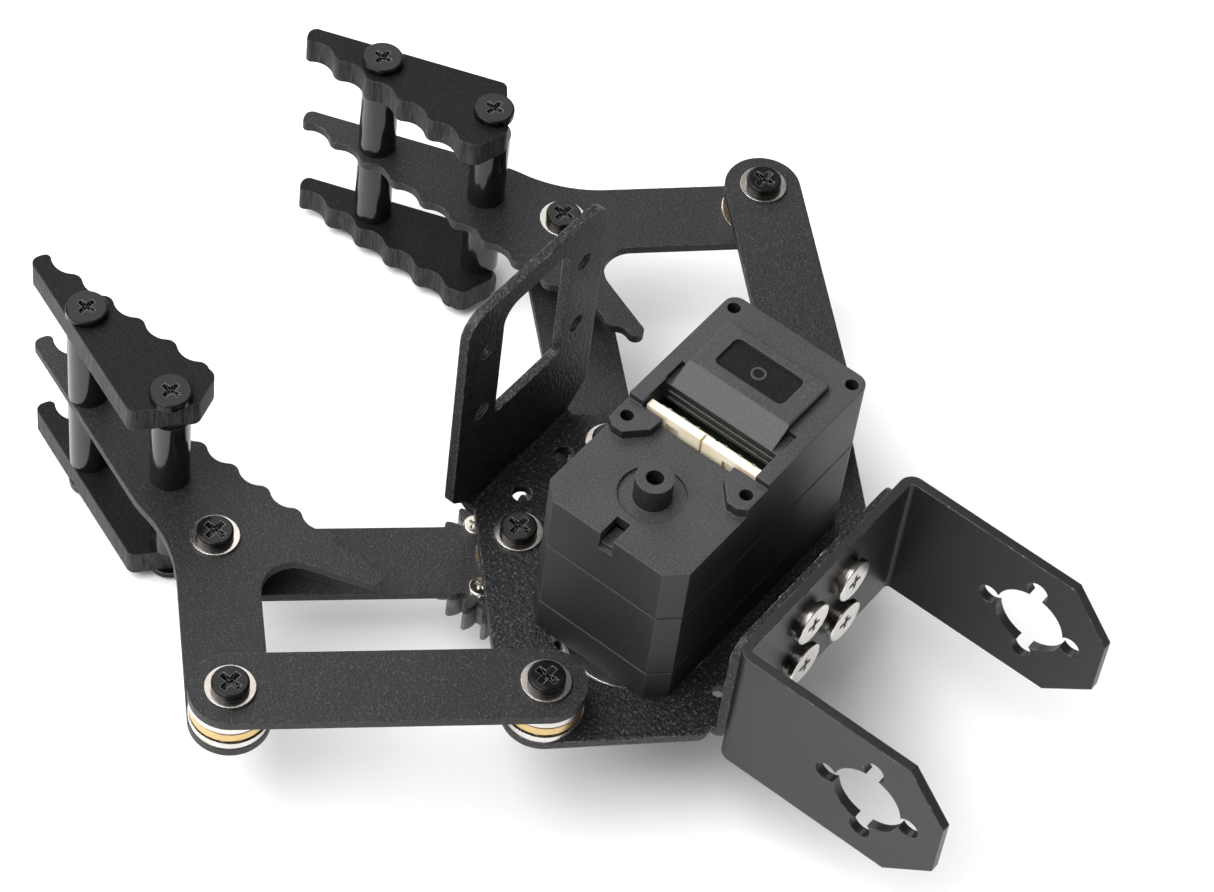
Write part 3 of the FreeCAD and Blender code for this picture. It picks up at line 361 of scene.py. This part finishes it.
for part in frame["record"]["subparts"]:
    obj = NODES[part["node"]]
    for slot in obj.material_slots:
        slot.material = LOOKS[part["material_slot"]]


# ------------------------------------------------------------- extra detail
MM = 0.001
STEPS_PER_TURN = 28
TAPER_STEPS = 8
CORNER_STEPS = 8
RIDGE_HALF = 0.42  # half the foot of a thread's ridge, in pitches


def helix_ridge(name, centre, axis, r_wall, r_crest, length, pitch, body, slot_name):
    """Screw thread: a V-section ridge wound on a cylinder from one end to the other."""
    axis = Vector(axis).normalized()
    side = axis.orthogonal().normalized()
    other = axis.cross(side)
    turns = (length - pitch) / pitch
    count = int(STEPS_PER_TURN * turns) + 1
    bm = bmesh.new()
    rows = []
    for i in range(count):
        a = 2 * math.pi * i / STEPS_PER_TURN
        out = side * math.cos(a) + other * math.sin(a)
        along = -length / 2 + pitch / 2 + pitch * i / STEPS_PER_TURN
        taper = min(1.0, i / TAPER_STEPS, (count - 1 - i) / TAPER_STEPS)
        crest = r_wall + (r_crest - r_wall) * taper
        base = Vector(centre) + axis * along
        rows.append([bm.verts.new(base + out * r_wall - axis * pitch * RIDGE_HALF),
                     bm.verts.new(base + out * crest),
                     bm.verts.new(base + out * r_wall + axis * pitch * RIDGE_HALF)])
    for a, b in zip(rows, rows[1:]):
        for j in range(3):
            k = (j + 1) % 3
            bm.faces.new((a[j], b[j], b[k], a[k]))
    bm.faces.new(list(reversed(rows[0])))
    bm.faces.new(rows[-1])
    bmesh.ops.recalc_face_normals(bm, faces=bm.faces)
    add_piece(name, bm, body, slot_name)


def add_piece(name, bm, body, slot_name):
    """Turn a bmesh into a piece that rides on a body and wears a slot's look."""
    mesh = bpy.data.meshes.new(name)
    bm.to_mesh(mesh)
    bm.free()
    piece = bpy.data.objects.new(name, mesh)
    bpy.context.scene.collection.objects.link(piece)
    mesh.materials.append(LOOKS[slot_name])
    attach(piece, body)


def thin_plate(name, x_span, y_span, z_span, corner, body, slot_name):
    """Flat plate with round corners, its spans and corner radius in millimetres."""
    (x0, x1), (y0, y1) = x_span, y_span
    centres = ((x1 - corner, y1 - corner), (x0 + corner, y1 - corner),
               (x0 + corner, y0 + corner), (x1 - corner, y0 + corner))
    rim = []
    for quarter, (cx, cy) in enumerate(centres):
        for i in range(CORNER_STEPS + 1):
            a = (quarter + i / CORNER_STEPS) * QUARTER
            rim.append((cx + corner * math.cos(a), cy + corner * math.sin(a)))
    bm = bmesh.new()
    low, high = ([bm.verts.new((x * MM, y * MM, z * MM)) for x, y in rim] for z in z_span)
    bm.faces.new(list(reversed(low)))
    bm.faces.new(high)
    for i in range(len(rim)):
        j = (i + 1) % len(rim)
        bm.faces.new((low[i], low[j], high[j], high[i]))
    add_piece(name, bm, body, slot_name)


def threads(prefix, xs, y, zs, r_wall, r_crest, length, pitch, slot_name):
    """A thread along y at every crossing of xs and zs, all in millimetres."""
    for i, (x, z) in enumerate((x, z) for x in xs for z in zs):
        centre = (x * MM, y * MM, z * MM)
        sizes = (r_wall * MM, r_crest * MM, length * MM, pitch * MM)
        helix_ridge("%s_%d" % (prefix, i), centre, (0, 1, 0), *sizes, "base", slot_name)


# A thin dark plate lies on the servo block's pocket floor, darker than the moulded grain round it.
thin_plate("servo_pocket_floor", (10.03, 15.97), (41.33, 53.37), (23.4, 23.46), 1.0, "base", "jaw_black")
FLANGE_MID_Y = 78.55
WEB_BACK_Y = 26.8
threads("flange_thread", (-11.0, 11.0), FLANGE_MID_Y, (11.4, 25.4), 1.5, 1.33, 1.45, 0.5, "satin_black")
threads("web_screw_thread", (-5.0, 5.0), WEB_BACK_Y, (-5.0, 5.0), 1.88, 2.03, 1.3, 0.45, "bright_steel")


# ------------------------------------------------------- floor and lighting
def floor_material():
    m = Mat("floor")
    tone = m.mix(m.remap(m.noise(0.25, 2.0, 0.5), 0.3, 0.7), (0.90, 0.90, 0.90), (0.92, 0.92, 0.92))
    m.put(Specular_IOR_Level=0.2)
    return m.done(tone, m.remap(m.noise(0.01), 0.3, 0.7, 0.6, 0.7))


FLOOR_HALF = 6.0
FLOOR_DROP = 0.0006
floor_mesh = bpy.data.meshes.new("floor")
floor_z = cad_lo.z - FLOOR_DROP
signs = ((-1, -1), (1, -1), (1, 1), (-1, 1))
corners = [(sx * FLOOR_HALF, sy * FLOOR_HALF, floor_z) for sx, sy in signs]
floor_mesh.from_pydata(corners, [], [(0, 1, 2, 3)])
floor_mesh.materials.append(floor_material())
floor = bpy.data.objects.new("floor", floor_mesh)
bpy.context.scene.collection.objects.link(floor)


def area_light(name, place, target, size, power):
    data = bpy.data.lights.new(name, "AREA")
    data.shape = "RECTANGLE"
    data.size, data.size_y = size
    data.energy = power
    light = bpy.data.objects.new(name, data)
    bpy.context.scene.collection.objects.link(light)
    look = Vector(target) - Vector(place)
    light.matrix_world = Matrix.Translation(place) @ look.to_track_quat("-Z", "Y").to_matrix().to_4x4()
    return light


centre = (0.0, 0.06, 0.0)
area_light("sky_panel", (-0.60, 0.50, 1.20), centre, (1.3, 1.3), 35.0)
area_light("back_panel", (0.55, 0.95, 0.95), centre, (0.9, 0.9), 9.0)
area_light("left_strip", (-1.10, -0.10, 0.42), centre, (0.25, 0.9), 3.0)

world = bpy.data.worlds.new("studio")
bpy.context.scene.world = world
world.use_nodes = True
WORLD_STRENGTH = 0.34
background = world.node_tree.nodes["Background"]
background.inputs["Color"].default_value = (1.0, 1.0, 1.0, 1.0)
background.inputs["Strength"].default_value = WORLD_STRENGTH
